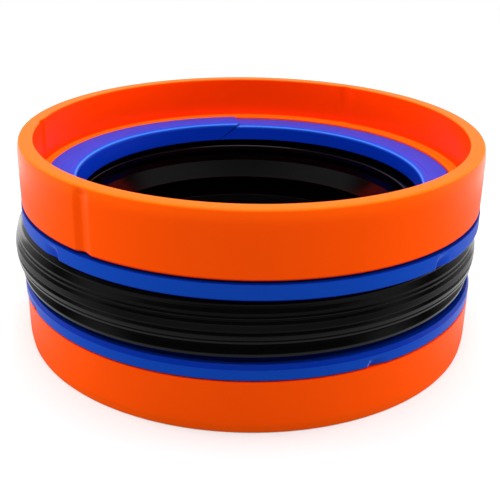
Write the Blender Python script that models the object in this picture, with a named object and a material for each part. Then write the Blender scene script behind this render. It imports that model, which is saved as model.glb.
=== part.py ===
"""Piston seal set for an 80 mm bore: five loose rings stacked round one axis.

From the floor up: a lower guide ring of acetal, a lower backup ring of polyester
elastomer, the nitrile rubber seal element, an upper backup ring and an upper guide ring.
The guide rings have an L section: a long outer wall and a short inward leg on the side of
the seal. Each backup ring has its body inside that leg, a flange under the guide ring and a
conical face towards the seal, and is cut through once on the skew so that it opens.

Metres, +Z up. The origin is on the axis, in the plane that the lower guide ring stands on.
"""

import math

import bmesh
import bpy

# Levels along the axis
LOWER_GUIDE_HEIGHT = 0.0090
UPPER_GUIDE_HEIGHT = 0.0106
FLANGE_THICKNESS = 0.0027       # backup ring's outer band
SEAL_SPACE = 0.01025            # between the two backup rings' outer bands
CLEARANCE = 0.0003              # between any two rings that touch

# Reference radii: the cylinder bore, and the bottom of the piston's groove
BORE_RADIUS = 0.0400
GROOVE_DEPTH = 0.0100
GROOVE_RADIUS = BORE_RADIUS - GROOVE_DEPTH

# Guide rings
GUIDE_WALL = 0.0027             # thickness of the outer wall
LEG_REACH = 0.0022              # how far the leg stands in from the wall
LEG_THICKNESS = 0.0029
GUIDE_EDGE = 0.00045            # rounding of the outer wall at the open end
GUIDE_SMALL_EDGE = 0.0002       # rounding of the other corners
RELIEF_DEPTH = 0.00035          # shallow sawtooth steps in the wall, set off from an axis
RELIEF_RAMP = math.radians(9.0)
RELIEF_STEP = math.radians(0.6)
OUTER_RELIEF_TURN = math.radians(115.9)         # one outside, on one side of the axis
INNER_RELIEF_TURN = math.radians(58.5)          # one inside on each side of it
UPPER_RELIEF_AXIS = math.radians(117.5)
LOWER_RELIEF_AXIS = math.radians(270.0)

# Backup rings
BAND_INSET = 0.00027            # the outer band stands this far inside the bore radius
BODY_RECESS = 0.00036           # the end face lies this far below the guide ring's leg
INNER_WALL_HEIGHT = 0.0030
BACKUP_EDGE = 0.0002
INNER_LIP_EDGE = 0.0005         # rounding where the end face meets the inner wall
POCKET_DEPTH = 0.0004
POCKET_WIDTH = math.radians(5.6)
POCKET_RAMP = math.radians(0.4)
POCKET_FLOOR = 0.0006           # band left between a pocket and the seal side
UPPER_POCKETS = (math.radians(219.8), math.radians(316.9))
LOWER_POCKETS = (math.radians(207.6), math.radians(299.8))
SPLIT_GAP = math.radians(0.5)
SPLIT_FADE = math.radians(24.0)
SPLIT_TURN_PER_HEIGHT = math.radians(1130.0)    # skew of the cut, radians per metre of height
SPLIT_TURN_PER_RADIUS = math.radians(800.0)     # and per metre of radius
UPPER_SPLIT = math.radians(98.4)
LOWER_SPLIT = math.radians(62.0)

# Seal element
CREST_PROUD = 0.0011            # the middle land stands out of the bore so that it seals
CREST_RISE = 0.00085            # the ribs stand this far above the middle of the seal space
LAND_HALF_HEIGHT = 0.0005
RIB_PITCH = 0.00083
RIB_START = 0.00009             # extra room between the land and the first rib
RIB_COUNT = 2                   # fine ribs above the land, and as many below
RIB_STEP_IN = 0.00037           # each rib is this much lower than the one before
RIB_VALLEY = 0.0003
SHOULDER_INSET = 0.0004         # the shoulders lie inside the bore radius
UPPER_SHOULDER_DROP = 0.0008    # below the upper backup ring's band
LOWER_SHOULDER_RISE = 0.0015    # above the lower backup ring's band
SHOULDER_RUN = 0.0012
LIP_PROUD = 0.00045             # the inner lips stand in from the groove radius
LIP_OFFSET = 0.0064             # and this far above and below the middle of the seal space
LIP_NOSE = 0.0009
BEAD_PROUD = 0.0017             # crest of the inner bead, in from the groove radius
BEAD_SLOPE = 0.00045            # how much less its two edges stand in
BEAD_HALF_HEIGHT = 0.0033

COLUMNS = 80                    # sides of each ring, before the features add theirs
TINY = 1e-6                     # one thousandth of a millimetre, for comparing levels

ACETAL_ORANGE = (0.85, 0.055, 0.004, 1.0)
ELASTOMER_BLUE = (0.010, 0.035, 0.27, 1.0)
RUBBER_BLACK = (0.008, 0.008, 0.009, 1.0)


def clear_scene():
    """Remove every object that the scene starts with."""
    for obj in list(bpy.data.objects):
        bpy.data.objects.remove(obj, do_unlink=True)


def material(name, colour, roughness):
    """A plain Principled material."""
    made = bpy.data.materials.new(name)
    made.use_nodes = True
    shader = made.node_tree.nodes["Principled BSDF"]
    shader.inputs["Base Color"].default_value = colour
    shader.inputs["Roughness"].default_value = roughness
    shader.inputs["Metallic"].default_value = 0.0
    made.diffuse_color = colour
    return made


def fillet(before, corner, after, radius, steps):
    """Points of the arc that rounds a corner between two straight sides."""
    if radius <= 0.0:
        return [corner]
    to_before = (before[0] - corner[0], before[1] - corner[1])
    to_after = (after[0] - corner[0], after[1] - corner[1])
    length_before = math.hypot(*to_before)
    length_after = math.hypot(*to_after)
    unit_before = (to_before[0] / length_before, to_before[1] / length_before)
    unit_after = (to_after[0] / length_after, to_after[1] / length_after)
    half = math.acos(max(-1.0, min(1.0, unit_before[0] * unit_after[0] + unit_before[1] * unit_after[1]))) / 2
    reach = min(radius / math.tan(half), 0.45 * length_before, 0.45 * length_after)
    radius = reach * math.tan(half)
    middle = (unit_before[0] + unit_after[0], unit_before[1] + unit_after[1])
    scale = math.hypot(reach, radius) / math.hypot(*middle)
    centre = (corner[0] + middle[0] * scale, corner[1] + middle[1] * scale)
    start = (corner[0] + unit_before[0] * reach, corner[1] + unit_before[1] * reach)
    end = (corner[0] + unit_after[0] * reach, corner[1] + unit_after[1] * reach)
    first = math.atan2(start[1] - centre[1], start[0] - centre[0])
    sweep = math.atan2(end[1] - centre[1], end[0] - centre[0]) - first
    sweep = (sweep + math.pi) % (2 * math.pi) - math.pi
    points = []
    for step in range(steps + 1):
        angle = first + sweep * step / steps
        points.append((centre[0] + radius * math.cos(angle), centre[1] + radius * math.sin(angle)))
    return points


def rounded(corners):
    """The outline with each corner rounded. A corner is (radius, level, rounding, steps)."""
    outline = []
    count = len(corners)
    for index, (r, z, rounding, steps) in enumerate(corners):
        before = corners[index - 1][:2]
        after = corners[(index + 1) % count][:2]
        outline.extend(fillet(before, (r, z), after, rounding, steps))
    return outline


def even_angles(extra):
    """Evenly spaced column angles, with the features' own angles put in their places."""
    spacing = 2 * math.pi / COLUMNS
    marks = sorted({round(angle % (2 * math.pi), 6) for angle in extra})
    angles = list(marks)
    for column in range(COLUMNS):
        angle = column * spacing
        nearest = min((abs((angle - mark + math.pi) % (2 * math.pi) - math.pi) for mark in marks), default=spacing)
        if nearest > 0.35 * spacing:
            angles.append(angle)
    return sorted(angles)


def ring_object(name, columns, is_open, look):
    """A ring skinned over its columns, each a list of (x, y, z) points round the section."""
    mesh = bpy.data.meshes.new(name)
    shape = bmesh.new()
    loops = [[shape.verts.new(point) for point in column] for column in columns]
    pairs = list(zip(loops, loops[1:]))
    if not is_open:
        pairs.append((loops[-1], loops[0]))
    for left, right in pairs:
        for index in range(len(left)):
            after = (index + 1) % len(left)
            shape.faces.new((left[index], left[after], right[after], right[index]))
    if is_open:
        shape.faces.new(loops[0])
        shape.faces.new(loops[-1])
    bmesh.ops.recalc_face_normals(shape, faces=shape.faces)
    bmesh.ops.triangulate(shape, faces=shape.faces)
    shape.to_mesh(mesh)
    shape.free()
    mesh.shade_smooth()
    mesh.set_sharp_from_angle(angle=math.radians(30.0))
    mesh.materials.append(look)
    obj = bpy.data.objects.new(name, mesh)
    bpy.context.scene.collection.objects.link(obj)
    return obj


def polar(radius, angle, level):
    """A point from its radius, angle and level."""
    return (radius * math.cos(angle), radius * math.sin(angle), level)


def sawtooth(angle, axis, turn):
    """Relief at an angle, 0 to 1: it deepens away from the axis as far as the turn, and ends there."""
    side = math.copysign(1.0, turn)
    off = side * ((angle - axis + math.pi) % (2 * math.pi) - math.pi)
    if off <= side * turn:
        return max(0.0, 1.0 - (side * turn - off) / RELIEF_RAMP)
    return max(0.0, 1.0 - (off - side * turn) / RELIEF_STEP)


def guide_ring(name, seal_face, up, height, relief_axis, look):
    """A guide ring whose seal side lies at seal_face and whose open end points up or down."""
    wall_inner = BORE_RADIUS - GUIDE_WALL
    leg_inner = wall_inner - LEG_REACH
    corners = [
        (leg_inner, 0.0, GUIDE_SMALL_EDGE, 1),
        (BORE_RADIUS, 0.0, GUIDE_SMALL_EDGE, 1),
        (BORE_RADIUS, height, GUIDE_EDGE, 2),
        (wall_inner, height, GUIDE_SMALL_EDGE, 1),
        (wall_inner, LEG_THICKNESS, 0.0, 1),
        (leg_inner, LEG_THICKNESS, GUIDE_SMALL_EDGE, 1),
    ]
    outline = rounded(corners)
    marks = []
    for turn in (OUTER_RELIEF_TURN, INNER_RELIEF_TURN, -INNER_RELIEF_TURN):
        side = math.copysign(1.0, turn)
        for off in (-RELIEF_RAMP, 0.0, RELIEF_STEP):
            marks.append(relief_axis + turn + side * off)
    wall_middle = BORE_RADIUS - GUIDE_WALL / 2
    columns = []
    for angle in even_angles(marks):
        outer_cut = RELIEF_DEPTH * sawtooth(angle, relief_axis, OUTER_RELIEF_TURN)
        left_cut = sawtooth(angle, relief_axis, INNER_RELIEF_TURN)
        right_cut = sawtooth(angle, relief_axis, -INNER_RELIEF_TURN)
        inner_cut = RELIEF_DEPTH * max(left_cut, right_cut)
        column = []
        for radius, along in outline:
            if radius > wall_middle:
                radius -= outer_cut
            elif radius > wall_inner - TINY and along > LEG_THICKNESS - TINY:
                radius += inner_cut
            column.append(polar(radius, angle, seal_face + up * along))
        columns.append(column)
    return ring_object(name, columns, False, look)


def pocket_depth(angle, pockets):
    """Share of the pocket's depth at an angle, with short ramps at both ends."""
    for pocket in pockets:
        off = abs((angle - pocket + math.pi) % (2 * math.pi) - math.pi)
        inside = POCKET_WIDTH / 2 - off
        if inside > 0.0:
            return min(1.0, inside / POCKET_RAMP)
    return 0.0


def backup_ring(name, seal_face, up, pockets, split, look):
    """A backup ring fitted inside and under the guide ring whose seal side lies at seal_face."""
    body_radius = BORE_RADIUS - GUIDE_WALL - LEG_REACH - CLEARANCE
    band_radius = BORE_RADIUS - BAND_INSET
    flange_level = -CLEARANCE
    band_end = flange_level - FLANGE_THICKNESS
    end_level = LEG_THICKNESS - BODY_RECESS
    pocket_end = band_end + POCKET_FLOOR
    corners = [
        (body_radius, flange_level, 0.0, 1),
        (band_radius, flange_level, BACKUP_EDGE, 1),
        (band_radius, pocket_end + BACKUP_EDGE, 0.0, 1),
        (band_radius, pocket_end, 0.0, 1),
        (band_radius, band_end, BACKUP_EDGE, 1),
        (GROOVE_RADIUS, end_level - INNER_WALL_HEIGHT, BACKUP_EDGE, 1),
        (GROOVE_RADIUS, end_level, INNER_LIP_EDGE, 2),
        (body_radius, end_level, BACKUP_EDGE, 1),
    ]
    outline = rounded(corners)
    all_pockets = [angle + turn for angle in pockets for turn in (0.0, math.pi)]
    marks = [split - SPLIT_FADE, split + SPLIT_FADE]
    for pocket in all_pockets:
        for side in (-1.0, 1.0):
            marks.append(pocket + side * POCKET_WIDTH / 2)
            marks.append(pocket + side * (POCKET_WIDTH / 2 - POCKET_RAMP))
    turned = [(angle - split) % (2 * math.pi) for angle in even_angles(marks)]
    inner_angles = sorted(angle for angle in turned if 2 * SPLIT_GAP < angle < 2 * math.pi - 2 * SPLIT_GAP)
    angles = [SPLIT_GAP / 2] + inner_angles + [2 * math.pi - SPLIT_GAP / 2]
    columns = []
    for turn in angles:
        away = min(turn, 2 * math.pi - turn)
        skew = max(0.0, 1.0 - away / SPLIT_FADE)
        cut = POCKET_DEPTH * pocket_depth(split + turn, all_pockets)
        column = []
        for radius, along in outline:
            swing = SPLIT_TURN_PER_HEIGHT * (end_level - along) - SPLIT_TURN_PER_RADIUS * (radius - GROOVE_RADIUS)
            angle = split + turn + skew * swing
            if radius > band_radius - 1.5 * BACKUP_EDGE and along > pocket_end + BACKUP_EDGE / 2:
                radius -= cut
            column.append(polar(radius, angle, seal_face + up * along))
        columns.append(column)
    return ring_object(name, columns, True, look)


def cone_level(radius):
    """Height of a backup ring's conical face over its outer band's end, at a radius."""
    band_radius = BORE_RADIUS - BAND_INSET
    rise = LEG_THICKNESS - BODY_RECESS - INNER_WALL_HEIGHT + CLEARANCE + FLANGE_THICKNESS
    return rise * (band_radius - radius) / (band_radius - GROOVE_RADIUS)


def seal_half(middle, up, shoulder, crest):
    """Half of the seal's section from the inner bead's crest, round the end, to the middle land."""
    band_end = SEAL_SPACE / 2
    lip_radius = GROOVE_RADIUS - LIP_PROUD
    nose_radius = lip_radius + LIP_NOSE
    shoulder_radius = BORE_RADIUS - SHOULDER_INSET
    run_radius = shoulder_radius - SHOULDER_RUN
    crest_radius = BORE_RADIUS + CREST_PROUD
    half = [
        (GROOVE_RADIUS - BEAD_PROUD + BEAD_SLOPE, BEAD_HALF_HEIGHT),
        (GROOVE_RADIUS, BEAD_HALF_HEIGHT + RIB_VALLEY),
        (GROOVE_RADIUS, LIP_OFFSET - LIP_NOSE),
        (lip_radius, LIP_OFFSET - RIB_VALLEY),
        (lip_radius, LIP_OFFSET),
        (nose_radius, band_end + cone_level(nose_radius) - CLEARANCE - RIB_VALLEY),
        (run_radius, band_end + cone_level(run_radius) - CLEARANCE - RIB_VALLEY / 2),
        (shoulder_radius, shoulder),
        (shoulder_radius, shoulder - RIB_VALLEY),
    ]
    for rib in range(RIB_COUNT, 0, -1):
        tip_radius = crest_radius - RIB_STEP_IN * rib
        tip = crest + LAND_HALF_HEIGHT + RIB_START + RIB_PITCH * rib
        half.append((tip_radius, tip))
        half.append((tip_radius - RIB_VALLEY, tip - RIB_PITCH / 2))
    half.append((crest_radius, crest + LAND_HALF_HEIGHT))
    return [(radius, middle + up * along) for radius, along in half]


def seal_element(name, middle, look):
    """The rubber ring between the two backup rings."""
    band_end = SEAL_SPACE / 2
    upper = seal_half(middle, 1.0, band_end - UPPER_SHOULDER_DROP, CREST_RISE)
    lower = seal_half(middle, -1.0, band_end - LOWER_SHOULDER_RISE, -CREST_RISE)
    outline = [(GROOVE_RADIUS - BEAD_PROUD, middle)] + upper + lower[::-1]
    columns = [[polar(radius, angle, level) for radius, level in outline] for angle in even_angles([])]
    return ring_object(name, columns, False, look)


def main():
    """Build the five rings from the floor up."""
    clear_scene()
    orange = material("acetal_orange", ACETAL_ORANGE, 0.32)
    blue = material("elastomer_blue", ELASTOMER_BLUE, 0.38)
    black = material("nitrile_rubber_black", RUBBER_BLACK, 0.45)
    lower_face = LOWER_GUIDE_HEIGHT
    upper_face = lower_face + 2 * (CLEARANCE + FLANGE_THICKNESS) + SEAL_SPACE
    middle = (lower_face + upper_face) / 2
    guide_ring("lower_guide_ring", lower_face, -1.0, LOWER_GUIDE_HEIGHT, LOWER_RELIEF_AXIS, orange)
    backup_ring("lower_backup_ring", lower_face, -1.0, LOWER_POCKETS, LOWER_SPLIT, blue)
    seal_element("seal_element", middle, black)
    backup_ring("upper_backup_ring", upper_face, 1.0, UPPER_POCKETS, UPPER_SPLIT, blue)
    guide_ring("upper_guide_ring", upper_face, 1.0, UPPER_GUIDE_HEIGHT, UPPER_RELIEF_AXIS, orange)


main()
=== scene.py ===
"""A double-acting piston seal set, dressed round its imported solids.

Five rings stand in each other: an orange acetal guide ring, a blue polyester elastomer
backup ring, the black nitrile rubber seal element, and the same two rings turned over.
Each ring is a section, worked out in millimetres from a few sizes and rounded at its
corners, turned round the axis as one numpy grid. Reliefs, pockets and the skew cut are
changes of radius, angle and level over that grid.
"""

from __future__ import annotations

import logging
import math
from dataclasses import dataclass
from enum import Enum

import bpy
import numpy as np
from mathutils import Matrix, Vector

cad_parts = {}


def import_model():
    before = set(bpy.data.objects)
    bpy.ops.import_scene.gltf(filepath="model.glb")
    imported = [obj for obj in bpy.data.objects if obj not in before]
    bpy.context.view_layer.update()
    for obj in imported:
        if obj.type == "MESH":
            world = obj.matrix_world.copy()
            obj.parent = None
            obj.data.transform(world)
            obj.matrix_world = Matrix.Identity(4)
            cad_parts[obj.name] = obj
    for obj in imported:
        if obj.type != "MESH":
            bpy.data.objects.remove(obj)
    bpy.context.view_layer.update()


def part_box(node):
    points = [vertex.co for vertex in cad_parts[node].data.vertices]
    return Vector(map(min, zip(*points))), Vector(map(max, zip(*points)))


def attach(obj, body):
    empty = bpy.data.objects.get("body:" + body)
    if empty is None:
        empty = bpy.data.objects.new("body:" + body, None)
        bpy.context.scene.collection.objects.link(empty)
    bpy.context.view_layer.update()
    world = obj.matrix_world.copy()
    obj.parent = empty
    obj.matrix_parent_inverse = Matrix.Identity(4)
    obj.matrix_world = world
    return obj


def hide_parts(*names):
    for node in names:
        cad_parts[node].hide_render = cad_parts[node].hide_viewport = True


MM = 0.001
TURN = 2.0 * math.pi
GROOVE_DEPTH = 10.0  # of the 80 x 60 mm piston seal housing, in millimetres
HAIR = 0.01  # a step in millimetres that only tells one side of an edge from the other
NOISE_RANGE = {"From Min": 0.3, "From Max": 0.7}  # a noise texture seldom leaves it
# The five tones: painted shade in seams, painted shade on inward faces, the own colour outwards, a
# painted highlight on edges and painted light on end faces.
TONE_STOPS = (0.0, 0.25, 0.5, 0.68, 0.86)  # facing shares of the five tones of a finish
WHITE = (1.0, 1.0, 1.0, 1.0)
CUT_EDGE_DEGREES = 50.0  # the edges of a cut through a ring are sharper than this
LOG = logging.getLogger("piston_seal")
Pairs = tuple[tuple[float, float], ...]


class Side(Enum):
    """Which way a ring's open end points along the axis."""

    UP = 1.0
    DOWN = -1.0


def linear(hex_colour: str) -> tuple[float, float, float, float]:
    """Turn an sRGB hex colour into linear light.

    Args:
        hex_colour: six hex digits, with or without the leading mark.

    Returns:
        Red, green, blue and an alpha of one.
    """
    digits = hex_colour.lstrip("#")
    srgb = np.array([int(digits[i : i + 2], 16) for i in (0, 2, 4)]) / 255.0
    light = np.where(srgb <= 0.04045, srgb / 12.92, ((srgb + 0.055) / 1.055) ** 2.4)
    return (float(light[0]), float(light[1]), float(light[2]), 1.0)


def smooth(x: np.ndarray | float) -> np.ndarray:
    """Smooth step of x from 0 to 1, flat at both ends: 3x^2 - 2x^3 on the clipped x."""
    t = np.clip(x, 0.0, 1.0)
    return t * t * (3.0 - 2.0 * t)


def turn_between(angle: np.ndarray, centre: float) -> np.ndarray:
    """Signed shortest turn from centre to each angle, in degrees from -180 to 180."""
    return (angle - centre + 180.0) % 360.0 - 180.0


def add_node(
    tree: bpy.types.NodeTree,
    kind: str,
    inputs: dict[str | int, object] | None = None,
    stops: list[tuple[float, tuple[float, ...]]] | None = None,
    **settings: object,
) -> bpy.types.Node:
    """Add a shader node, set its properties and fill or link its inputs.

    Args:
        tree: the node tree.
        kind: the node's Blender class name.
        inputs: socket name or index to a constant, or to an output socket to link.
        stops: on a colour ramp, pairs of position and linear colour, in order.
        **settings: properties of the node itself.

    Returns:
        The new node.
    """
    made = tree.nodes.new(kind)
    for key, value in settings.items():
        setattr(made, key, value)
    for key, value in (inputs or {}).items():
        if isinstance(value, bpy.types.NodeSocket):
            tree.links.new(value, made.inputs[key])
        else:
            made.inputs[key].default_value = value
    if stops:
        elements = made.color_ramp.elements
        while len(elements) < len(stops):
            elements.new(0.5)
        for element, (position, colour) in zip(elements, stops):
            element.position = position
            element.color = colour
    return made


def new_material(name: str) -> tuple[bpy.types.Material, bpy.types.NodeTree, bpy.types.Node]:
    """Make an empty node material.

    Args:
        name: the material's name.

    Returns:
        The material, its node tree and its output node.
    """
    material = bpy.data.materials.new(name)
    material.use_nodes = True
    tree = material.node_tree
    tree.nodes.clear()
    return material, tree, tree.nodes.new("ShaderNodeOutputMaterial")


@dataclass(frozen=True)
class MouldedFinish:
    """What a moulded ring's surface has in common, whatever it is made of.

    Cloudiness is a slow drift of the colour, grain the fine texture of the mould, and flow
    marks are faint streaks round the ring, finer across the section than along the turn.
    The end faces are painted lighter, as painted light from above, and the edges carry a
    painted highlight; the inward faces and seams are painted darker, as painted shade.
    Lengths are in millimetres. A mould's own grain and flow marks are finer: they are drawn
    as coarse as they need to be to show.
    """

    name: str
    colour: str
    end_painted_light: str
    edge_painted_highlight: str
    inward_painted_shade: str
    seam_painted_shade: str
    cloud: float
    roughness: float
    roughness_drift: float
    specular: float
    ior: float
    cloud_mm: float
    grain_mm: float
    grain_height_mm: float
    streak_mm: float
    streak_height_mm: float
    streak_along: float = 0.02

    def build(self) -> bpy.types.Material:
        """Build the node material.

        Returns:
            The material, on Object coordinates and the ring's own UV map and attribute.
        """
        material, tree, output = new_material(self.name)
        place = add_node(tree, "ShaderNodeTexCoord").outputs["Object"]
        tone = self._tone(tree, place)
        inputs = {"Base Color": tone, "IOR": self.ior, "Specular IOR Level": self.specular}
        shader = add_node(tree, "ShaderNodeBsdfPrincipled", inputs)
        self._texture(tree, place, shader)
        tree.links.new(shader.outputs["BSDF"], output.inputs["Surface"])
        return material

    def _tone(self, tree: bpy.types.NodeTree, place: bpy.types.NodeSocket) -> bpy.types.NodeSocket:
        """Add the colour: one of five tones by where the surface faces, a little cloudy.

        Args:
            tree: the material's node tree.
            place: the object coordinates.

        Returns:
            The colour's socket.
        """
        # The tones paint shade into seams and inward faces, a highlight onto edges and light onto end
        # faces.
        facing = add_node(tree, "ShaderNodeAttribute", attribute_name="facing").outputs["Fac"]
        tones = (self.seam_painted_shade, self.inward_painted_shade, self.colour, self.edge_painted_highlight, self.end_painted_light)
        stops = [(stop, linear(tone)) for stop, tone in zip(TONE_STOPS, tones)]
        tone = add_node(tree, "ShaderNodeValToRGB", {"Fac": facing}, stops)
        scale = 1.0 / (self.cloud_mm * MM)
        inputs = {"Vector": place, "Scale": scale, "Detail": 3.0, "Roughness": 0.55}
        cloud = add_node(tree, "ShaderNodeTexNoise", inputs)
        inputs = {"Value": cloud.outputs["Fac"], **NOISE_RANGE, "To Min": 1.0 - self.cloud}
        clouded = add_node(tree, "ShaderNodeMapRange", inputs)
        inputs = {"Color": tone.outputs["Color"], "Value": clouded.outputs["Result"]}
        return add_node(tree, "ShaderNodeHueSaturation", inputs).outputs["Color"]

    def _texture(
        self, tree: bpy.types.NodeTree, place: bpy.types.NodeSocket, shader: bpy.types.Node
    ) -> None:
        """Add the grain and the flow marks to the shader's normal and roughness.

        Args:
            tree: the material's node tree.
            place: the object coordinates.
            shader: the material's shader.
        """
        wrapped = add_node(tree, "ShaderNodeUVMap", uv_map="section").outputs["UV"]
        across = 1.0 / (self.streak_mm * MM)
        inputs = {"Vector": wrapped, "Scale": (self.streak_along * across, across, 1.0)}
        stretched = add_node(tree, "ShaderNodeMapping", inputs).outputs["Vector"]
        inputs = {"Vector": stretched, "Scale": 1.0, "Detail": 4.0, "Roughness": 0.6}
        streak = add_node(tree, "ShaderNodeTexNoise", inputs).outputs["Fac"]
        scale = 1.0 / (self.grain_mm * MM)
        inputs = {"Vector": place, "Scale": scale, "Detail": 2.0, "Roughness": 0.5}
        grain = add_node(tree, "ShaderNodeTexNoise", inputs).outputs["Fac"]
        inputs = {"Height": grain, "Strength": 1.0, "Distance": self.grain_height_mm * MM}
        grained = add_node(tree, "ShaderNodeBump", inputs).outputs["Normal"]
        inputs = {"Height": streak, "Strength": 1.0, "Distance": self.streak_height_mm * MM}
        streaked = add_node(tree, "ShaderNodeBump", {**inputs, "Normal": grained}).outputs["Normal"]
        tree.links.new(streaked, shader.inputs["Normal"])
        low, high = self.roughness - self.roughness_drift, self.roughness + self.roughness_drift
        inputs = {"Value": streak, **NOISE_RANGE, "To Min": low, "To Max": high}
        rough = add_node(tree, "ShaderNodeMapRange", inputs).outputs["Result"]
        tree.links.new(rough, shader.inputs["Roughness"])


# Injection-moulded acetal: dense, slightly waxy orange with a smooth satin gloss.
ACETAL = MouldedFinish(
    name="acetal_moulded_orange",
    colour="#FB4F02",
    # Painted light: a lighter orange on the end faces and a painted highlight on the edges; painted
    # shade, a deeper red-orange, on the inward faces and in the seams.
    end_painted_light="#FF6C0B",
    edge_painted_highlight="#FD5C06",
    inward_painted_shade="#FB3700",
    seam_painted_shade="#F03400",
    cloud=0.03,
    roughness=0.24,
    roughness_drift=0.03,
    specular=0.045,
    ior=1.48,
    cloud_mm=14.0,
    grain_mm=0.35,
    grain_height_mm=0.0012,
    streak_mm=0.5,
    streak_height_mm=0.0015,
)

# Moulded polyester elastomer: soft satin blue, a little hazier than the acetal.
ELASTOMER = MouldedFinish(
    name="polyester_elastomer_blue",
    colour="#0B42AE",
    # Painted light: a lighter blue on the end faces and a light blue painted highlight on the edges;
    # painted shade, a deeper blue, on the inward faces and in the seams.
    end_painted_light="#0B45C6",
    edge_painted_highlight="#4686FA",
    inward_painted_shade="#012CAC",
    seam_painted_shade="#012686",
    cloud=0.04,
    roughness=0.30,
    roughness_drift=0.04,
    specular=0.085,
    ior=1.50,
    cloud_mm=9.0,
    grain_mm=0.30,
    grain_height_mm=0.0018,
    streak_mm=0.4,
    streak_height_mm=0.001,
)

# Moulded nitrile rubber: near-black, with the soft sheen of a cleaned mould face.
NITRILE = MouldedFinish(
    name="nitrile_rubber_black",
    colour="#020202",
    end_painted_light="#020202",
    edge_painted_highlight="#020202",
    inward_painted_shade="#020202",
    seam_painted_shade="#020202",
    cloud=0.15,
    roughness=0.15,
    roughness_drift=0.03,
    specular=0.5,
    ior=1.52,
    cloud_mm=8.0,
    grain_mm=0.25,
    grain_height_mm=0.0025,
    streak_mm=0.35,
    streak_height_mm=0.003,
)


class Section:
    """A closed section in the plane of radius and height along the axis, in millimetres."""

    ARC_SHARE = 0.48  # the most that one corner's arc takes of a side
    SHORTEST = 1e-6  # a side shorter than this is left out

    def __init__(self, corners: list[tuple[float, float, float]], arc_points: int = 7) -> None:
        """Round the corners of a polygon.

        Args:
            corners: radius, height and rounding of each corner, in order round the section.
            arc_points: points on each rounded corner.
        """
        self.points = self._rounded(np.array(corners, float), arc_points)

    @classmethod
    def _rounded(cls, corners: np.ndarray, arc_points: int) -> np.ndarray:
        """Replace each corner by a circular arc that touches both of its sides.

        The arc's centre lies on the corner's bisector, at rounding / sin(half the corner's
        angle), and the arc sweeps from one touching point to the other.

        Args:
            corners: an array of radius, height and rounding.
            arc_points: points on each arc.

        Returns:
            The outline, as an array of radius and height.
        """
        outline = []
        for index, (radius, height, rounding) in enumerate(corners):
            corner = np.array((radius, height))
            to_before = corners[index - 1, :2] - corner
            to_after = corners[(index + 1) % len(corners), :2] - corner
            before_length = np.linalg.norm(to_before)
            after_length = np.linalg.norm(to_after)
            if rounding <= 0.0:
                outline.append(corner[None, :])
                continue
            before, after = to_before / before_length, to_after / after_length
            half = math.acos(float(np.clip(before @ after, -1.0, 1.0))) / 2.0
            most = cls.ARC_SHARE * min(before_length, after_length)
            reach = min(rounding / math.tan(half), most)
            bisector = (before + after) / np.linalg.norm(before + after)
            centre = corner + bisector * reach / math.cos(half)
            start = corner + before * reach - centre
            end = corner + after * reach - centre
            first = math.atan2(start[1], start[0])
            sweep = (math.atan2(end[1], end[0]) - first + math.pi) % TURN - math.pi
            angles = first + sweep * np.linspace(0.0, 1.0, arc_points)
            size = np.linalg.norm(start)
            outline.append(centre + size * np.stack([np.cos(angles), np.sin(angles)], axis=1))
        return np.concatenate(outline)

    def fine(self, step: float, guard: float = 0.05) -> np.ndarray:
        """Outline with points added on its long straight sides.

        Each long side gets a guard point close to both ends, so that the shading of a
        rounded corner stays at the corner, and even points between them.

        Args:
            step: largest spacing on a straight side.
            guard: distance of the guard points from the side's ends.

        Returns:
            The outline, turning anticlockwise, as an array of radius and height.
        """
        points = self.points
        after = np.roll(points, -1, axis=0)
        pieces = []
        for start, end in zip(points, after):
            length = float(np.linalg.norm(end - start))
            if length < self.SHORTEST:
                continue
            if length <= 3.0 * guard:
                pieces.append(start[None, :])
                continue
            inner = np.linspace(guard, length - guard, max(2, math.ceil(length / step)))
            along = np.concatenate([[0.0], inner]) / length
            pieces.append(start + along[:, None] * (end - start))
        outline = np.concatenate(pieces)
        following = np.roll(outline, -1, axis=0)
        area = np.sum(outline[:, 0] * following[:, 1] - following[:, 0] * outline[:, 1])
        return outline if area > 0.0 else outline[::-1]


def ring_angles(
    columns: int, features: list[tuple[float, float]], dense: int = 40, closest: float = 0.02
) -> np.ndarray:
    """Column angles round a ring, in degrees: even ones, and denser ones at its features.

    Args:
        columns: number of even columns.
        features: centre and half width of each feature, in degrees.
        dense: columns added across each feature.
        closest: least turn between two columns, in degrees.

    Returns:
        Sorted angles from 0 to below 360.
    """
    even = np.arange(columns) * 360.0 / columns
    added = [np.linspace(centre - half, centre + half, dense) % 360.0 for centre, half in features]
    angles = np.sort(np.concatenate([even, *added]))
    keep = np.diff(angles, append=angles[0] + 360.0) > closest
    return angles[keep]


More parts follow.
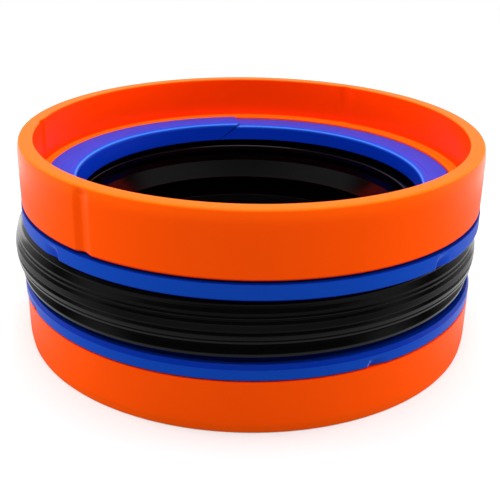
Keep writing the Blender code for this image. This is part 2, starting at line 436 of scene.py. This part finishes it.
def ring_mesh(
    name: str,
    radius: np.ndarray,
    angle: np.ndarray,
    level: np.ndarray,
    length: np.ndarray,
    open_ends: bool,
) -> bpy.types.Object:
    """Skin a grid of points, columns round the axis by points round the section.

    A point lies at (radius cos angle, radius sin angle, level). Neighbouring columns are
    joined by four-sided faces that turn outwards, and the two ends of a ring that is cut
    through are closed by a face with the section's own outline. The UV map is the turn
    along the mean circle and the length along the section.

    Args:
        name: the object's name.
        radius: radius of each point in millimetres, one row per column.
        angle: angle of each point in radians.
        level: height of each point in millimetres.
        length: distance of each point of the section from its first, in millimetres.
        open_ends: True where the ring is cut through.

    Returns:
        The new object, at the origin.
    """
    columns, points = radius.shape
    place = np.stack([radius * np.cos(angle), radius * np.sin(angle), level], axis=2)
    place = place.reshape(-1, 3) * MM
    last = columns - 1 if open_ends else columns
    column = np.arange(last)[:, None]
    point = np.arange(points)[None, :]
    next_column = (column + 1) % columns
    next_point = (point + 1) % points
    quads = np.stack(
        [
            column * points + point,
            next_column * points + point,
            next_column * points + next_point,
            column * points + next_point,
        ],
        axis=2,
    ).reshape(-1, 4)
    loops = [quads.ravel()]
    totals = [np.full(len(quads), 4)]
    if open_ends:
        loops += [np.arange(points), (columns - 1) * points + np.arange(points)[::-1]]
        totals += [np.array([points, points])]
    loop_vertices = np.concatenate(loops).astype(np.int32)
    loop_totals = np.concatenate(totals).astype(np.int32)
    loop_starts = np.concatenate([[0], np.cumsum(loop_totals)[:-1]]).astype(np.int32)
    mesh = bpy.data.meshes.new(name)
    mesh.vertices.add(len(place))
    mesh.vertices.foreach_set("co", place.astype(np.float32).ravel())
    mesh.loops.add(len(loop_vertices))
    mesh.loops.foreach_set("vertex_index", loop_vertices)
    mesh.polygons.add(len(loop_totals))
    mesh.polygons.foreach_set("loop_start", loop_starts)
    mesh.polygons.foreach_set("loop_total", loop_totals)
    mesh.update(calc_edges=True)
    mesh.validate()
    unrolled = TURN * radius.mean()
    turn = np.repeat(np.arange(columns) / columns * unrolled, points)
    around = np.tile(length, columns)
    wrap = turn[loop_vertices]
    closing = np.repeat(np.arange(last) == columns - 1, points * 4) & (wrap[: quads.size] == 0.0)
    wrap[: quads.size] += np.where(closing, unrolled, 0.0)
    layer = mesh.uv_layers.new(name="section")
    unwrapped = np.stack([wrap, around[loop_vertices]], axis=1) * MM
    layer.data.foreach_set("uv", unwrapped.astype(np.float32).ravel())
    mesh.shade_smooth()
    if open_ends:
        mesh.set_sharp_from_angle(angle=math.radians(CUT_EDGE_DEGREES))
    ring = bpy.data.objects.new(name, mesh)
    bpy.context.scene.collection.objects.link(ring)
    return ring


def section_facing(outline: np.ndarray, seam_shade_below: float) -> np.ndarray:
    """Where each point of an outline faces.

    The outward normal of a side (dr, dz) of an anticlockwise outline is (dz, -dr), and a
    point takes the mean of its two sides.

    Args:
        outline: an anticlockwise outline, as an array of radius and height.
        seam_shade_below: height under which a face towards the end lies in a seam.

    Returns:
        1 for the end face, painted lighter, 0.5 outwards, 0.25 inwards, and 0 in a seam or
        towards the seal, where painted shade goes. A face that leans towards the seal goes to 0 a
        little ahead of its slope.
    """
    side = np.roll(outline, -1, axis=0) - outline
    side = side / np.linalg.norm(side, axis=1)[:, None]
    normal = np.stack([side[:, 1], -side[:, 0]], axis=1)
    normal = normal + np.roll(normal, 1, axis=0)
    normal = normal / np.linalg.norm(normal, axis=1)[:, None]
    end, inward = np.clip(normal[:, 1], 0.0, 1.0), np.clip(-normal[:, 0], 0.0, 1.0)
    end = np.where(outline[:, 1] < seam_shade_below, -end, end)
    return 0.5 + 0.5 * end - np.maximum(0.25 * inward, np.clip(-1.2 * normal[:, 1], 0.0, 0.5))


def section_length(outline: np.ndarray) -> np.ndarray:
    """Distance of each point of an outline from its first point, along the outline."""
    steps = np.linalg.norm(np.diff(outline, axis=0), axis=1)
    return np.concatenate([[0.0], np.cumsum(steps)])


@dataclass
class Stack:
    """Sizes and levels that the rings share, in millimetres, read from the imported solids."""

    bore_radius: float
    groove_radius: float
    lower_face: float
    upper_face: float
    top: float
    guide_wall: float = 2.7
    leg_reach: float = 1.85
    leg_thickness: float = 2.9

    @classmethod
    def from_frame(cls) -> Stack:
        """Read the levels from the solids' boxes."""
        upper_low, upper_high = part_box("upper_guide_ring")
        _, lower_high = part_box("lower_guide_ring")
        bore = upper_high.x / MM
        return cls(
            bore_radius=bore,
            groove_radius=bore - GROOVE_DEPTH,
            lower_face=lower_high.z / MM,
            upper_face=upper_low.z / MM,
            top=upper_high.z / MM,
        )

    @property
    def wall_inner(self) -> float:
        """Inner radius of a guide ring's wall."""
        return self.bore_radius - self.guide_wall

    @property
    def leg_inner(self) -> float:
        """Inner radius of a guide ring's leg."""
        return self.wall_inner - self.leg_reach

    @property
    def middle(self) -> float:
        """Level halfway between the two guide rings."""
        return (self.lower_face + self.upper_face) / 2.0


@dataclass
class GuideRing:
    """An acetal guide ring: outer wall, inward leg at the seal side, shallow reliefs.

    One relief lies on the outside of the wall and two on its inside. Sizes are in
    millimetres, and turns and ramps in degrees.
    """

    node: str
    stack: Stack
    side: Side
    seal_face: float
    height: float
    relief_axis: float
    drift: float
    outer_depth: float = 0.5
    inner_depth: float = 0.35
    relief_ramp: float = 2.4
    relief_step: float = 3.0
    outer_turn: float = 114.5
    inner_turn: float = 58.5
    end_edge: float = 0.42
    end_taper: float = 0.26
    end_taper_height: float = 1.6
    end_taper_round: float = 9.0
    seal_edge: float = 0.4
    inner_edge: float = 0.28
    corner: float = 0.25
    leg_edge: float = 0.2
    outer_fade: float = 0.85
    fade_below_end: float = 1.5
    fade_height: float = 1.3
    columns: int = 720

    def section(self) -> Section:
        """The L section, its height counted from the seal side."""
        stack = self.stack
        return Section(
            [
                (stack.leg_inner, 0.0, self.leg_edge),
                (stack.bore_radius, 0.0, self.seal_edge),
                (stack.bore_radius, self.height - self.end_taper_height, self.end_taper_round),
                (stack.bore_radius - self.end_taper, self.height, self.end_edge),
                (stack.wall_inner, self.height, self.inner_edge),
                (stack.wall_inner, stack.leg_thickness, self.corner),
                (stack.leg_inner, stack.leg_thickness, self.corner),
            ]
        )

    def relief(self, angle: np.ndarray, turn: float) -> np.ndarray:
        """Share of a relief's depth at each angle.

        The depth grows smoothly along the ramp, up to the turn from the relief axis, and
        ends there in one smooth step.

        Args:
            angle: column angles in degrees.
            turn: how far the step lies from the relief axis, in degrees, with its sense.

        Returns:
            Share from 0 to 1.
        """
        side = math.copysign(1.0, turn)
        off = side * turn_between(angle, self.relief_axis)
        ramp = smooth(1.0 - (side * turn - off) / self.relief_ramp)
        ending = 1.0 - smooth((off - side * turn) / self.relief_step)
        return np.where(off <= side * turn, ramp, ending)

    def build(self, finish: bpy.types.Material) -> bpy.types.Object:
        """Build the ring's object.

        The outer face moves in, and the wall's inner face out, by the reliefs' depths. The
        outer relief nearly fades out at the open end.

        Args:
            finish: its material.

        Returns:
            The ring, which replaces its node.
        """
        stack = self.stack
        outline = self.section().fine(step=0.9)
        turns = (self.outer_turn, self.inner_turn, -self.inner_turn)
        features = [(self.relief_axis + turn, self.relief_ramp) for turn in turns]
        degrees = ring_angles(self.columns, features)
        along = np.broadcast_to(outline[:, 1], (len(degrees), len(outline)))
        base = np.broadcast_to(outline[:, 0], along.shape)
        outer = base > stack.bore_radius - stack.guide_wall / 2
        inner_reach = stack.wall_inner - self.corner - HAIR
        inner = ~outer & (base > inner_reach) & (along > stack.leg_thickness + HAIR)
        end_share = smooth((along - self.height + self.fade_below_end) / self.fade_height)
        outer_relief = self.outer_depth * self.relief(degrees, self.outer_turn)[:, None]
        outer_cut = outer_relief * (1.0 - self.outer_fade * end_share)
        inner_sides = self.relief(degrees, self.inner_turn) + self.relief(degrees, -self.inner_turn)
        inner_cut = self.inner_depth * inner_sides[:, None]
        radius = base - np.where(outer, outer_cut, 0.0) + np.where(inner, inner_cut, 0.0)
        level = self.seal_face + self.side.value * along
        # The facing share paints light on the end faces and shade on the inward and seal-side faces.
        share = np.broadcast_to(section_facing(outline, seam_shade_below=0.0), radius.shape)
        angle = np.radians(degrees)
        return finished(self, radius, angle, level, outline, share, finish, open_ends=False)


@dataclass
class BackupRing:
    """A split elastomer ring: body inside the leg, flange under it, cone towards the seal.

    Sizes are in millimetres. The pockets' width and step, and every turn from the cut, are
    in degrees. A pocket is given by the angle of its step and the sense in which it runs out.
    """

    node: str
    stack: Stack
    side: Side
    seal_face: float
    pockets: Pairs
    split: float
    drift: float
    flange_gap: float
    flange_end: float
    pocket_closed_at: Side
    body_gap: float = 0.1
    band_inset: float = -0.07
    body_recess: float = 0.36
    inner_wall: float = 3.0
    lip_edge: float = 0.7
    body_edge: float = 0.12
    band_edge: float = 0.1
    end_edge: float = 0.15
    band_bevel: float = 0.78
    band_taper: float = 0.32
    pocket_depth: float = 0.42
    pocket_width: float = 6.0
    pocket_step: float = 1.1
    pocket_corner: float = 1.3
    pocket_rim: float = 0.5
    pocket_reach: float = 0.8
    pocket_blend: float = 0.7
    riser_painted_highlight: float = 0.2
    pocket_painted_shade: float = 0.25
    split_gap: float = 0.3
    split_fade: float = 40.0
    turn_per_height: float = 2.7
    turn_per_radius: float = 0.21
    spring_lift: float = 0.0
    spring_shift: float = 0.0
    spring_at_flange: float = 0.1
    lift_until: float = 80.0
    lift_fade: float = 60.0
    shift_from: float = 50.0
    shift_until: float = 110.0
    shift_fade: float = 50.0
    columns: int = 640

    def section(self) -> Section:
        """The section, its height counted from the guide ring's seal side."""
        stack = self.stack
        body = stack.leg_inner - self.body_gap
        band = stack.bore_radius - self.band_inset
        end = stack.leg_thickness - self.body_recess
        return Section(
            [
                (body, -self.flange_gap, self.body_edge),
                (band, -self.flange_gap, self.band_edge),
                (band, -self.flange_end + self.band_bevel, self.band_edge),
                (band - self.band_taper, -self.flange_end, self.band_edge),
                (stack.groove_radius, end - self.inner_wall, self.body_edge),
                (stack.groove_radius, end, self.lip_edge),
                (body, end, self.end_edge),
            ]
        )

    def pocket(self, angle: np.ndarray, along: np.ndarray) -> tuple[np.ndarray, np.ndarray]:
        """Share of the pockets' depth at each point of the outer band.

        A pocket starts at one smooth step and runs out in a slow ramp away from it. Its
        closed end is a step of the same kind, and the two steps meet in a round corner: the
        share is a smooth step of the distance inside that outline.

        Args:
            angle: column angles in degrees, as one column of values.
            along: height of each point from the guide ring's seal side.

        Returns:
            Share of the depth, and how much each point belongs to a step, from 0 to 1.
        """
        per_degree = math.radians(self.stack.bore_radius)
        closed = self.pocket_closed_at.value * self.side.value
        end = -self.flange_gap if closed > 0.0 else -self.flange_end + self.band_bevel
        inside = math.copysign(1.0, closed) * (end - along) - self.pocket_rim
        corner = self.pocket_corner
        share, riser = np.zeros(along.shape), np.zeros(along.shape)
        for start, sense in self.pockets:
            run = sense * turn_between(angle, start) * per_degree
            across = np.minimum(run, corner)
            up = np.minimum(inside, corner)
            from_edge = corner - np.hypot(corner - across, corner - up)
            step = smooth(from_edge / (self.pocket_step * per_degree))
            fading = 1.0 - smooth(run / (self.pocket_width * per_degree))
            share = np.maximum(share, step * fading)
            riser = np.maximum(riser, 4.0 * step * (1.0 - step) * fading)
        return share, riser

    def build(self, finish: bpy.types.Material) -> bpy.types.Object:
        """Build the ring's object.

        The columns run from one side of the cut to the other. Near the cut each point is
        swung round the axis in proportion to its height and radius, which skews the cut.
        Past the cut the body of a sprung ring lies higher and off the axis, by a smooth
        share that starts and ends at its turns from the cut.

        Args:
            finish: its material.

        Returns:
            The ring, which replaces its node.
        """
        stack = self.stack
        outline = self.section().fine(step=0.45)
        half = self.pocket_width / 2
        features = [(start + sense * half, half + 0.5) for start, sense in self.pockets]
        degrees = ring_angles(self.columns, features)
        turned = np.sort((degrees - self.split) % 360.0)
        edge = self.split_gap / 2
        turned = turned[(turned > 2 * edge) & (turned < 360.0 - 2 * edge)]
        turned = np.concatenate([[edge], turned, [360.0 - edge]])
        along = np.broadcast_to(outline[:, 1], (len(turned), len(outline)))
        base = np.broadcast_to(outline[:, 0], along.shape)
        end = stack.leg_thickness - self.body_recess
        fade = smooth(1.0 - np.minimum(turned, 360.0 - turned) / self.split_fade)
        out = base - stack.groove_radius
        swing = self.turn_per_height * (end - along) + self.turn_per_radius * out
        angle = self.split + turned[:, None] + fade[:, None] * swing
        band = stack.bore_radius - self.band_inset
        at_band = smooth((base - (band - self.pocket_reach)) / self.pocket_blend)
        pocket, step = self.pocket((self.split + turned)[:, None], along)
        cut = self.pocket_depth * pocket * at_band
        lifted = 1.0 - smooth((turned - self.lift_until) / self.lift_fade)
        shifted = smooth(turned / self.shift_from)
        shifted = shifted * (1.0 - smooth((turned - self.shift_until) / self.shift_fade))
        body = smooth((along - end + self.inner_wall) / self.inner_wall)
        held = self.spring_at_flange + (1.0 - self.spring_at_flange) * body
        radians = np.radians(angle)
        radius = base - cut + self.spring_shift * shifted[:, None] * held * np.cos(radians)
        level = self.seal_face + self.side.value * along + self.spring_lift * lifted[:, None] * body
        # The flange's top under the guide ring and the cone towards the seal take painted seam shade;
        # the pocket risers get a painted highlight and the pockets painted shade.
        share = section_facing(outline, seam_shade_below=-0.1)
        share = share + at_band * (self.riser_painted_highlight * step - self.pocket_painted_shade * pocket * (1.0 - step))
        return finished(self, radius, radians, level, outline, share, finish, open_ends=True)


@dataclass
class SealElement:
    """The rubber ring: conical ends, shoulders, fine ribs outside, lips and a bead inside.

    Sizes are in millimetres, and heights count from the middle of the seal space.
    """

    node: str
    stack: Stack
    drift: float
    land_radius: float = 40.75
    edge: float = 0.09
    upper_end: float = 5.18
    lower_end: float = 5.125
    upper_rise: float = 2.46
    lower_rise: float = 2.54
    cone_span: float = 9.73
    cone_inset: float = 2.2
    nose_radius: float = 33.0
    upper_lip: float = 29.35
    lower_lip: float = 29.05
    lip_offset: float = 6.52
    lip_height: float = 0.9
    recess_below_lip: float = 2.0
    bead_radius: float = 28.3
    bead_half: float = 3.2
    recess_radius: float = 29.9
    soft_edge: float = 0.3
    valley_edge: float = 0.08
    valley_share: float = 0.62
    columns: int = 384

    def outside(self) -> list[tuple[float, float, float]]:
        """Corners of the outer face, from the upper shoulder down to the lower one.

        Each rib and land is a short, nearly upright face. Above it a slope leads out to it,
        and under it the face steps back in, to a valley above the next one. A face is given
        by how far its top and its foot stand in from the land, their heights, and how far
        the valley above it stands in from its foot.

        Returns:
            Radius, height from the middle and rounding of each corner.
        """
        edge, land = self.edge, self.land_radius
        faces = [
            (-1.15, -1.15, 4.32, 4.17, 0.0),
            (-0.50, -0.50, 3.22, 3.03, 0.42),
            (-0.32, -0.30, 2.50, 2.40, 0.28),
            (-0.10, 0.0, 1.62, 0.60, 0.50),
            (-0.05, -0.10, -0.17, -0.78, 0.32),
            (-0.17, -0.22, -1.10, -1.46, 0.14),
            (-0.82, -0.87, -3.50, -3.96, 0.95),
        ]
        corners = []
        for top_in, low_in, top, low, back in faces:
            if back > 0.0:
                valley = top + self.valley_share * (corners[-1][1] - top)
                corners.append((land + low_in - back, valley, self.valley_edge))
            corners += [(land + top_in, top, edge), (land + low_in, low, edge)]
        return corners

    def inside(self, sense: float, outer_end: float, rise: float) -> list[tuple[float, float, float]]:
        """Corners of one half's end and inner face, from the outer edge to the bead.

        Args:
            sense: 1 for the upper half, -1 for the lower one.
            outer_end: level where the backup ring's cone meets its band, from the middle.
            rise: how far the cone rises from there to the groove radius.

        Returns:
            Radius, height from the middle and rounding of each corner.
        """
        band = self.stack.groove_radius + self.cone_span

        def cone(radius: float) -> float:
            """Level of the end face at a radius, parallel to the backup ring's cone."""
            return outer_end + rise * (band - radius) / self.cone_span

        run, lip_level = self.land_radius - self.cone_inset, self.lip_offset
        lip = self.upper_lip if sense > 0.0 else self.lower_lip
        corners = [
            (run, cone(run), self.soft_edge),
            (self.nose_radius, cone(self.nose_radius), self.soft_edge),
            (lip, lip_level, 0.25),
            (lip, lip_level - self.lip_height, 0.12),
            (self.recess_radius, lip_level - self.recess_below_lip, self.soft_edge),
            (self.recess_radius, self.bead_half, 0.1),
        ]
        return [(radius, sense * height, rounding) for radius, height, rounding in corners]

    def section(self) -> Section:
        """The whole section, its height counted from the middle."""
        upper = self.inside(1.0, self.upper_end, self.upper_rise)
        lower = self.inside(-1.0, self.lower_end, self.lower_rise)
        bead = [(self.bead_radius, 0.0, self.soft_edge)]
        return Section(self.outside() + lower + bead + upper[::-1], arc_points=5)

    def build(self, finish: bpy.types.Material) -> bpy.types.Object:
        """Build the ring's object.

        Args:
            finish: its material.

        Returns:
            The ring, which replaces its node.
        """
        outline = self.section().fine(step=0.7, guard=0.04)
        degrees = ring_angles(self.columns, [])
        along = np.broadcast_to(outline[:, 1], (len(degrees), len(outline)))
        radius = np.broadcast_to(outline[:, 0], along.shape)
        level = self.stack.middle + along
        share = np.broadcast_to(section_facing(outline, seam_shade_below=-math.inf), radius.shape)
        angle = np.radians(degrees)
        return finished(self, radius, angle, level, outline, share, finish, open_ends=False)


def finished(
    ring: GuideRing | BackupRing | SealElement,
    radius: np.ndarray,
    angle: np.ndarray,
    level: np.ndarray,
    outline: np.ndarray,
    facing_share: np.ndarray,
    finish: bpy.types.Material,
    open_ends: bool,
) -> bpy.types.Object:
    """Make a ring's object from its grid, let it lie off the axis by its drift and dress it.

    Args:
        ring: the ring, whose node the object stands for.
        radius: radius of each point in millimetres.
        angle: angle of each point, or of each column, in radians.
        level: height of each point in millimetres.
        outline: the section's outline.
        facing_share: where each point faces, as section_facing gives it.
        finish: the material.
        open_ends: True where the ring is cut through.

    Returns:
        The object.
    """
    angle = angle if angle.ndim == 2 else np.broadcast_to(angle[:, None], radius.shape)
    name = ring.node + "_moulded"
    made = ring_mesh(name, radius, angle, level, section_length(outline), open_ends)
    share = made.data.attributes.new("facing", "FLOAT", "POINT")
    share.data.foreach_set("value", facing_share.astype(np.float32).ravel())
    made.data.transform(Matrix.Translation((ring.drift * MM, 0.0, 0.0)))
    made.data.materials.append(finish)
    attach(made, "root")
    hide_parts(ring.node)
    LOG.info("%s: %d faces", name, len(made.data.polygons))
    return made


@dataclass
class SealSet:
    """The five rings. Places of reliefs, pockets and cuts are degrees round the axis."""

    stack: Stack
    upper_pockets: Pairs = ((223.4, -1.0), (314.4, 1.0), (43.4, -1.0), (134.4, 1.0))
    lower_pockets: Pairs = ((209.9, -1.0), (297.0, 1.0), (29.9, -1.0), (117.0, 1.0))

    def build(self) -> list[bpy.types.Object]:
        """Build all rings with their finishes."""
        acetal, elastomer, nitrile = ACETAL.build(), ELASTOMER.build(), NITRILE.build()
        made = [ring.build(acetal) for ring in self._guides()]
        made += [ring.build(elastomer) for ring in self._backups()]
        seal = SealElement("seal_element", self.stack, drift=-0.32)
        made.append(seal.build(nitrile))
        return made

    def _guides(self) -> tuple[GuideRing, GuideRing]:
        """The lower and the upper guide ring."""
        stack = self.stack
        lower = GuideRing(
            "lower_guide_ring",
            stack,
            Side.DOWN,
            seal_face=stack.lower_face,
            height=stack.lower_face,
            relief_axis=270.0,
            drift=0.2,
            end_edge=0.32,
            seal_edge=0.12,
        )
        upper = GuideRing(
            "upper_guide_ring",
            stack,
            Side.UP,
            seal_face=stack.upper_face,
            height=stack.top - stack.upper_face,
            relief_axis=117.5,
            drift=0.5,
        )
        return lower, upper

    def _backups(self) -> tuple[BackupRing, BackupRing]:
        """The lower and the upper backup ring, of which the upper one is sprung."""
        stack = self.stack
        lower = BackupRing(
            "lower_backup_ring",
            stack,
            Side.DOWN,
            seal_face=stack.lower_face,
            pockets=self.lower_pockets,
            split=62.0,
            drift=0.1,
            flange_gap=0.3,
            flange_end=2.85,
            pocket_closed_at=Side.UP,
        )
        upper = BackupRing(
            "upper_backup_ring",
            stack,
            Side.UP,
            seal_face=stack.upper_face,
            pockets=self.upper_pockets,
            split=94.9,
            drift=0.55,
            flange_gap=0.48,
            flange_end=2.99,
            pocket_closed_at=Side.UP,
            band_bevel=0.2,
            band_taper=0.05,
            spring_lift=0.45,
            spring_shift=-0.7,
        )
        return lower, upper


@dataclass(frozen=True)
class Step:
    """A smooth step: from low to high while a value runs from start to end."""

    start: float
    end: float
    low: float = 0.0
    high: float = 1.0

    def of(self, value: bpy.types.NodeSocket) -> dict[str, object]:
        """Inputs of the Map Range node that takes the step over a value."""
        ends = {"From Min": self.start, "From Max": self.end, "To Min": self.low, "To Max": self.high}
        return {"Value": value, **ends}


@dataclass(frozen=True)
class Softbox:
    """A rectangular area lamp that no reflection sees. Places and sizes are in metres."""

    name: str
    place: tuple[float, float, float]
    aim: tuple[float, float, float]
    size: tuple[float, float]
    watts: float

    def build(self) -> None:
        """Add the lamp, with its face turned to its aim."""
        lamp = bpy.data.lights.new(self.name, "AREA")
        lamp.shape = "RECTANGLE"
        lamp.size, lamp.size_y = self.size
        lamp.energy = self.watts
        holder = bpy.data.objects.new(self.name, lamp)
        away = np.array(self.place) - np.array(self.aim)
        holder.matrix_world = Matrix.Translation(self.place) @ turned_to(away).to_4x4()
        holder.visible_glossy = False
        bpy.context.scene.collection.objects.link(holder)


@dataclass
class Studio:
    """White paper, a dome of soft light and four softboxes.

    The steps of the dome and its mirror image run over the Y or Z of a direction, those of
    the paper over metres, and the zones over the distance from the axis times zone_scale.
    """

    paper_m: float = 3.0
    paper_sink: float = 0.02 * MM
    paper_colour: str = "#7A7A7A"
    paper_glow: float = 0.27
    paper_shade: str = "#C5C5C5"
    paper_fade: Step = Step(0.16, 0.40)
    # Painted shade on the paper as reflections see it: dimmer in front of the rings, and by zones of
    # distance from the axis, none within the rings, light beside their foot, dimmer further out and
    # full far away.
    paper_mirror: Step = Step(-0.08, 0.03, 0.27, 1.6)
    zone_scale: float = 5.0
    zones: Pairs = ((0.19, 0.0), (0.24, 0.7), (0.29, 0.7), (0.35, 0.32), (0.50, 0.32), (0.58, 1.0))
    dome_light: Step = Step(-0.8, -0.1, 0.30, 1.08)
    mirror_front: Step = Step(-0.2, 0.2, 0.2, 0.0)
    mirror_above: Step = Step(0.54, 0.60, 1.0, 0.1)
    mirror_back: Step = Step(0.1, 0.8, 0.0, 0.6)
    mirror_top: Step = Step(0.94, 0.975, 0.0, 3.2)
    softboxes: tuple[Softbox, ...] = (
        Softbox("overhead_softbox", (0.0, 0.22, 0.5), (0.0, 0.0, 0.0), (0.5, 0.5), 1.1),
        Softbox("front_softbox", (0.0, -0.42, 0.5), (0.0, 0.0, 0.02), (0.45, 0.45), 2.8),
        Softbox("left_softbox", (-0.5, 0.13, 0.08), (0.0, 0.0, 0.02), (0.4, 0.14), 2.7),
        Softbox("right_softbox", (0.5, 0.13, 0.08), (0.0, 0.0, 0.02), (0.4, 0.14), 2.7),
    )

    def build(self) -> None:
        """Build the paper, the world and the lamps."""
        self._paper()
        self._dome()
        for softbox in self.softboxes:
            softbox.build()

    def _paper(self) -> None:
        """Lay the sheet of paper that the rings stand on."""
        half = self.paper_m / 2
        grid = np.array([(-half, -half), (half, -half), (half, half), (-half, half)])
        mesh = bpy.data.meshes.new("studio_paper")
        mesh.from_pydata(np.c_[grid, np.full(4, -self.paper_sink)].tolist(), [], [(0, 1, 2, 3)])
        mesh.materials.append(self._paper_finish())
        paper = bpy.data.objects.new("studio_paper", mesh)
        bpy.context.scene.collection.objects.link(paper)

    def _paper_finish(self) -> bpy.types.Material:
        """Build the paper's material: matt, and plain gray to the light that it throws back.

        To the camera it glows, so that it is white with the object's soft shadow, and far
        out it is plain white. A reflection sees it by zones of painted shade: none within the
        rings and dim in front of them, where it lies in shade, and light beside and behind them.

        Returns:
            The material.
        """
        material, tree, output = new_material("studio_paper_white")
        rays = add_node(tree, "ShaderNodeLightPath").outputs
        place = add_node(tree, "ShaderNodeTexCoord").outputs["Object"]
        depth = add_node(tree, "ShaderNodeSeparateXYZ", {0: place}).outputs["Y"]
        reach = add_node(tree, "ShaderNodeVectorMath", {0: place}, operation="LENGTH").outputs["Value"]

        inputs = {"Color": linear(self.paper_shade)}
        shaded = add_node(tree, "ShaderNodeBsdfDiffuse", inputs).outputs[0]
        inputs = {"Color": WHITE, "Strength": self.paper_glow}
        glow = add_node(tree, "ShaderNodeEmission", inputs).outputs[0]
        near = add_node(tree, "ShaderNodeAddShader", {0: shaded, 1: glow}).outputs[0]
        inputs = {"Color": WHITE, "Strength": 1.0}
        white = add_node(tree, "ShaderNodeEmission", inputs).outputs[0]
        inputs = self.paper_fade.of(reach)
        fade = add_node(tree, "ShaderNodeMapRange", inputs, interpolation_type="SMOOTHSTEP").outputs[0]
        seen = add_node(tree, "ShaderNodeMixShader", {0: fade, 1: near, 2: white}).outputs[0]

        # Painted shade for reflections: dim in front, and by zones round the axis.
        inputs = self.paper_mirror.of(depth)
        front = add_node(tree, "ShaderNodeMapRange", inputs, interpolation_type="SMOOTHSTEP").outputs[0]
        inputs = {0: reach, 1: self.zone_scale}
        ring = add_node(tree, "ShaderNodeMath", inputs, operation="MULTIPLY").outputs[0]
        stops = [(radius, (share, share, share, 1.0)) for radius, share in self.zones]
        zone_shade = add_node(tree, "ShaderNodeValToRGB", {"Fac": ring}, stops).outputs["Color"]
        inputs = {0: front, 1: zone_shade}
        strength = add_node(tree, "ShaderNodeMath", inputs, operation="MULTIPLY").outputs[0]
        inputs = {"Color": WHITE, "Strength": strength}
        mirrored = add_node(tree, "ShaderNodeEmission", inputs).outputs[0]

        inputs = {"Color": linear(self.paper_colour)}
        thrown = add_node(tree, "ShaderNodeBsdfDiffuse", inputs).outputs[0]
        inputs = {0: rays["Is Camera Ray"], 1: rays["Is Transmission Ray"]}
        direct = add_node(tree, "ShaderNodeMath", inputs, operation="MAXIMUM").outputs[0]
        mixed = add_node(tree, "ShaderNodeMixShader", {0: direct, 1: thrown, 2: seen}).outputs[0]
        inputs = {0: rays["Is Glossy Ray"], 1: mixed, 2: mirrored}
        mixed = add_node(tree, "ShaderNodeMixShader", inputs).outputs[0]
        tree.links.new(mixed, output.inputs["Surface"])
        return material

    def _dome(self) -> None:
        """Make the world: a dome with light sides and a dim front, white to the camera.

        A reflection sees it dark, but for a low band in front, the light wall behind the
        object and the light overhead.
        """
        world = bpy.data.worlds.new("studio_dome")
        bpy.context.scene.world = world
        world.use_nodes = True
        tree = world.node_tree
        tree.nodes.clear()
        output = tree.nodes.new("ShaderNodeOutputWorld")
        direction = add_node(tree, "ShaderNodeTexCoord").outputs["Generated"]
        split = add_node(tree, "ShaderNodeSeparateXYZ", {0: direction})
        y, z = split.outputs["Y"], split.outputs["Z"]
        rays = add_node(tree, "ShaderNodeLightPath").outputs
        steps = (
            self.dome_light.of(y),
            self.mirror_front.of(y),
            self.mirror_above.of(z),
            self.mirror_back.of(y),
            self.mirror_top.of(z),
        )
        smoothed = [
            add_node(tree, "ShaderNodeMapRange", inputs, interpolation_type="SMOOTHSTEP").outputs[0]
            for inputs in steps
        ]
        lit, front, above, back, top = smoothed
        inputs = {0: front, 1: above, 2: back}
        around = add_node(tree, "ShaderNodeMath", inputs, operation="MULTIPLY_ADD").outputs[0]
        mirrored = add_node(tree, "ShaderNodeMath", {0: around, 1: top}, operation="ADD").outputs[0]
        dome, mirror, white = (
            add_node(tree, "ShaderNodeBackground", {"Color": WHITE, "Strength": strength}).outputs[0]
            for strength in (lit, mirrored, 1.0)
        )
        inputs = {0: rays["Is Glossy Ray"], 1: dome, 2: mirror}
        mixed = add_node(tree, "ShaderNodeMixShader", inputs).outputs[0]
        inputs = {0: rays["Is Camera Ray"], 1: mixed, 2: white}
        mixed = add_node(tree, "ShaderNodeMixShader", inputs).outputs[0]
        tree.links.new(mixed, output.inputs["Surface"])


def turned_to(away: np.ndarray) -> Matrix:
    """Rotation whose Z axis points along away and whose X axis is level."""
    z = away / np.linalg.norm(away)
    x = np.cross((0.0, 0.0, 1.0), z)
    x = x / np.linalg.norm(x) if np.linalg.norm(x) > 1e-6 else np.array((1.0, 0.0, 0.0))
    y = np.cross(z, x)
    return Matrix(np.stack([x, y, z], axis=1).tolist())


@dataclass
class PhotoCamera:
    """The camera that took the photograph: place in millimetres, angles in degrees."""

    place: tuple[float, float, float] = (0.52, -151.18, 78.83)
    pitch: float = 23.67
    roll: float = 1.0
    focal_px: float = 892.67
    frame_px: float = 500.0
    sensor: float = 36.0

    def build(self) -> bpy.types.Object:
        """Create the camera and make it the scene's own."""
        data = bpy.data.cameras.new("photo_camera")
        data.sensor_width = self.sensor
        data.lens = self.focal_px / self.frame_px * self.sensor
        data.clip_start = 0.01
        data.clip_end = 20.0
        camera = bpy.data.objects.new("photo_camera", data)
        pitch, roll = math.radians(self.pitch), math.radians(self.roll)
        forward = np.array((0.0, math.cos(pitch), -math.sin(pitch)))
        right = np.array((1.0, 0.0, 0.0))
        up = np.array((0.0, math.sin(pitch), math.cos(pitch)))
        x_axis = right * math.cos(roll) + up * math.sin(roll)
        y_axis = up * math.cos(roll) - right * math.sin(roll)
        turn = Matrix(np.stack([x_axis, y_axis, -forward], axis=1).tolist())
        camera.matrix_world = Matrix.Translation(np.array(self.place) * MM) @ turn.to_4x4()
        bpy.context.scene.collection.objects.link(camera)
        bpy.context.scene.camera = camera
        return camera


def main() -> None:
    """Build the rings, the studio and the camera, and log how many rings were built."""
    logging.basicConfig(level=logging.INFO, format="%(name)s: %(message)s")
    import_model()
    bpy.context.scene.view_settings.view_transform = "Standard"
    rings = SealSet(Stack.from_frame()).build()
    Studio().build()
    PhotoCamera().build()
    LOG.info("%d rings built", len(rings))


if __name__ == "__main__":
    main()
